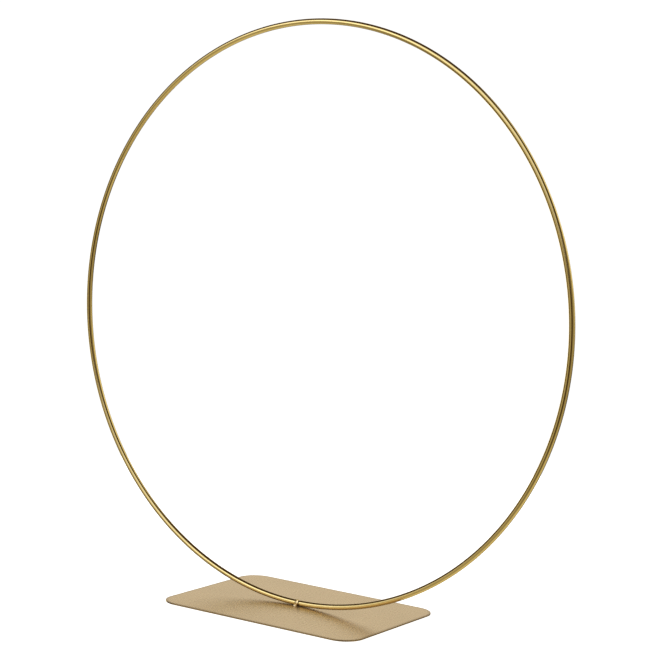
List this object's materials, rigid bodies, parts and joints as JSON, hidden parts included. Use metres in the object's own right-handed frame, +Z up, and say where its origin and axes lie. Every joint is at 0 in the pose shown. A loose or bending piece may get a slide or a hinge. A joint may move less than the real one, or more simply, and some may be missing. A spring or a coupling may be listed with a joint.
{
  "type": "wreath frame",
  "caption": "Round wire hoop standing upright on a flat rounded base plate, for binding a wreath or hanging decorations.",
  "frame": {"origin": "middle of the surface that the frame stands on, below the hoop's lowest point", "axes": "+X along the base plate and across the hoop, +Y from front to back along the hoop's own axis, +Z up"},
  "size_m": [0.4, 0.11, 0.4015],
  "materials": {
    "plate": "satin champagne gold lacquer on sheet steel",
    "wire": "glossy gold lacquer on steel wire",
    "lug": "glossy gold lacquer on sheet steel",
    "weld": "gold lacquer over slightly lumpy weld metal",
    "pad": "matt black foam rubber"
  },
  "bodies": {
    "root": {"base_plate": "plate", "hoop": "wire", "hoop_lug": "lug", "hoop_weld_left": "weld", "hoop_weld_right": "weld", "foot_weld_front": "weld", "foot_weld_back": "weld", "pad_front_left": "pad", "pad_front_right": "pad", "pad_back_left": "pad", "pad_back_right": "pad"}
  },
  "joints": []
}
